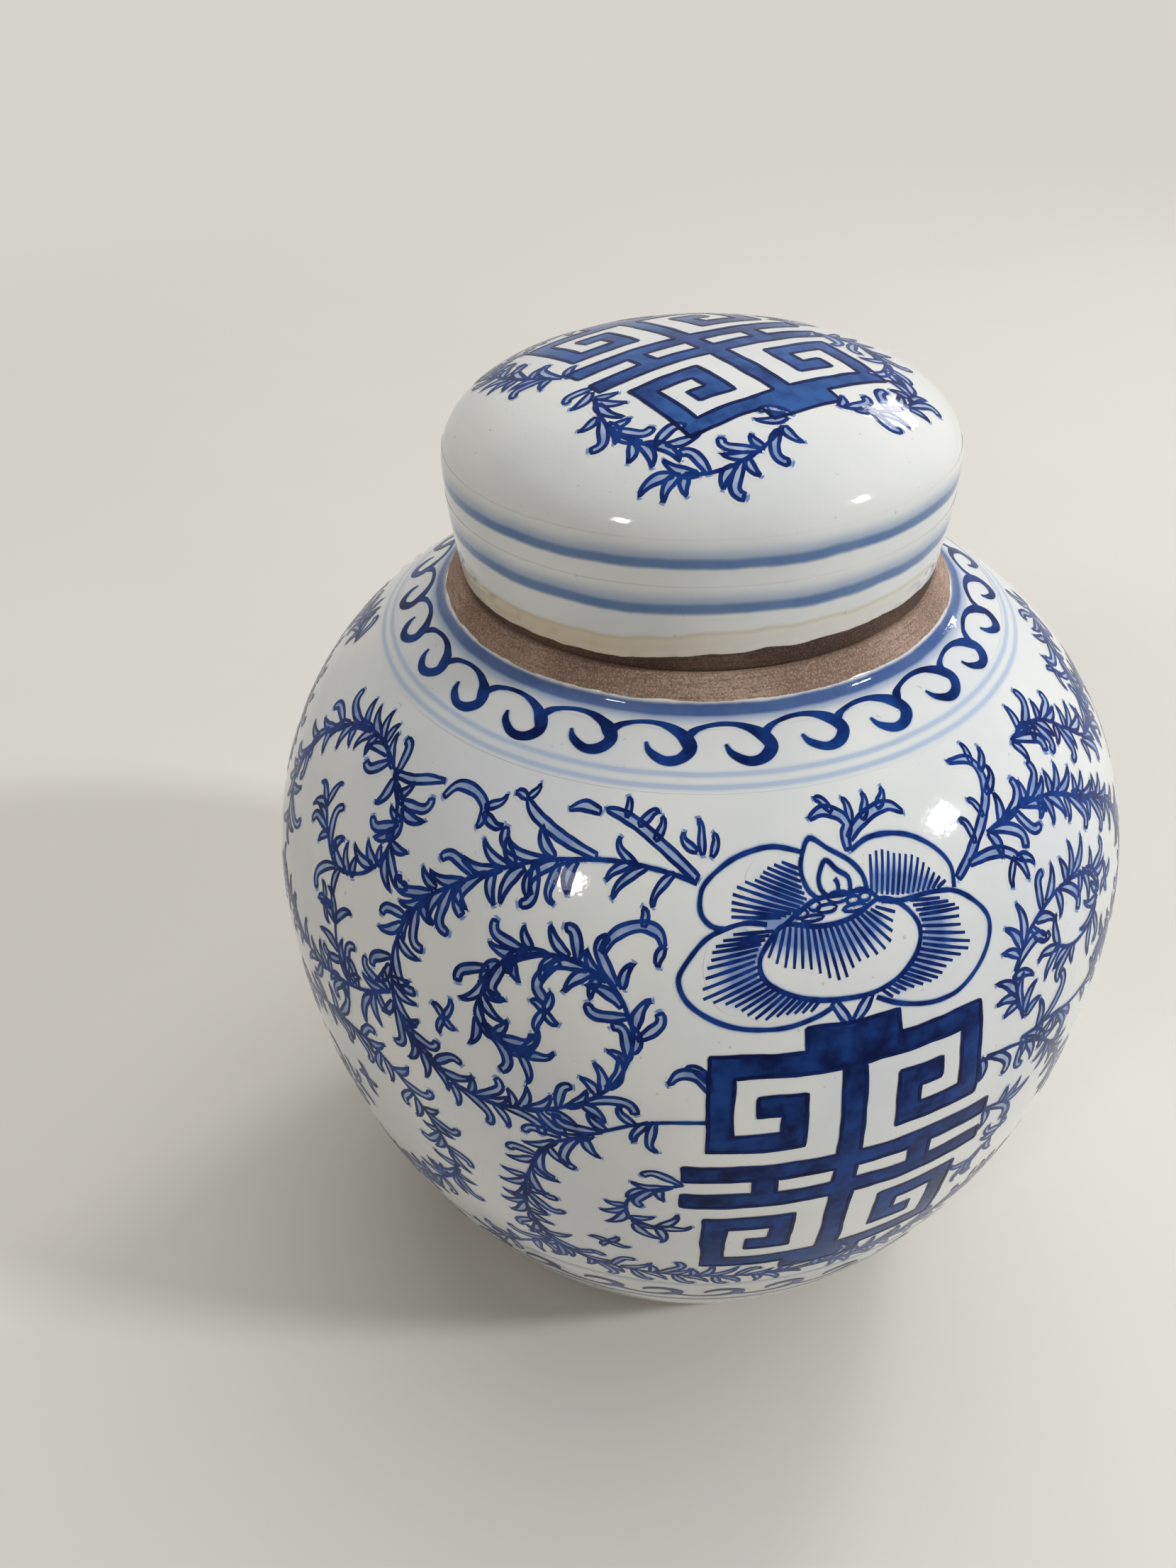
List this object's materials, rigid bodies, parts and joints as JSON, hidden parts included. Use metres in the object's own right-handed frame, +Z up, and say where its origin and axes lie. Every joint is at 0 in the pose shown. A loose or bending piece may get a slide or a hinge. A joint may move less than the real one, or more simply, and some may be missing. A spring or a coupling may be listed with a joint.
{
  "type": "ginger jar",
  "caption": "Round-bellied lidded porcelain ginger jar with blue painted vine scrolls, a bare clay seat and a domed cap lid that lifts straight off its short neck.",
  "frame": {"origin": "centre of the foot ring's underside, on the table", "axes": "+Z up along the jar's axis of revolution; -Y is the front, with the camera in the picture looking along +Y"},
  "size_m": [0.2, 0.2, 0.23],
  "materials": {
    "jar_glaze": "glossy cool white glaze over porcelain, bare clay at the seat, neck rim and foot ring",
    "lid_glaze": "glossy cool white glaze, ivory towards the bare clay rim",
    "cobalt_paint": "cobalt blue brushwork under the clear glaze"
  },
  "bodies": {
    "jar": {"jar_body": "jar_glaze"},
    "lid": {"lid": "lid_glaze"}
  },
  "joints": [
    {"name": "lid_lift", "type": "slide", "parent": "jar", "child": "lid", "axis": [0, 0, 1], "range_m": [0, 0.06]}
  ]
}
